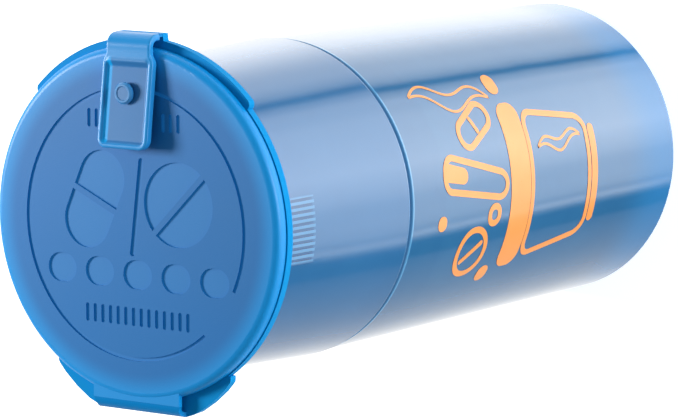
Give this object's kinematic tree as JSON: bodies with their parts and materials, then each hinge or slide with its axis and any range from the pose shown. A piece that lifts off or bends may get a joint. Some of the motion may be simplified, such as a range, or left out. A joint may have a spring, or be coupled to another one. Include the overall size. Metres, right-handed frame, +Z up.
{
  "type": "pill crusher",
  "caption": "Pop-top vial with a twist crusher in its cap: a squeeze barrel with a hinged, latched lid turns over toothed plates, and crushed tablets fall into the vial below.",
  "frame": {"origin": "middle of the vial's foot, on the surface that it stands on", "axes": "+Z up along the vial's axis to the lid, -Y towards the latch, +Y towards the lid's hinge, +X and -X to the grip ribs"},
  "size_m": [0.0538, 0.0574, 0.1202],
  "materials": {
    "vial_blue": "clear-ish gloss polypropylene, tinted blue",
    "barrel_blue": "gloss polypropylene, tinted blue",
    "lid_blue": "satin moulded polypropylene",
    "crusher_blue": "moulded polypropylene",
    "seal_silicone": "soft silicone",
    "print_orange": "one-colour screen print"
  },
  "bodies": {
    "vial": {"vial": "vial_blue"},
    "coupling": {"coupling_ring": "crusher_blue", "seal_ring": "seal_silicone", "lower_tooth_plate": "crusher_blue"},
    "barrel": {"barrel": "barrel_blue", "upper_tooth_plate": "crusher_blue", "lid_hinge_web": "lid_blue", "latch_hinge_web": "lid_blue"},
    "lid": {"lid": "lid_blue", "latch_stud": "lid_blue"},
    "latch": {"latch_tab": "lid_blue"}
  },
  "joints": [
    {"name": "head_lift", "type": "slide", "parent": "vial", "child": "coupling", "axis": [0, 0, 1], "range_m": [0, 0.03]},
    {"name": "barrel_twist", "type": "hinge", "parent": "coupling", "child": "barrel", "pos_m": [0, 0, 0.0855], "axis": [0, 0, 1], "continuous": true},
    {"name": "lid_hinge", "type": "hinge", "parent": "barrel", "child": "lid", "pos_m": [0, 0.0279, 0.1162], "axis": [-1, 0, 0], "range_deg": [0, 135], "deforming": ["lid_hinge_web"]},
    {"name": "latch_hinge", "type": "hinge", "parent": "barrel", "child": "latch", "pos_m": [0, -0.0286, 0.1156], "axis": [1, 0, 0], "range_deg": [0, 150], "deforming": ["latch_hinge_web"]}
  ]
}
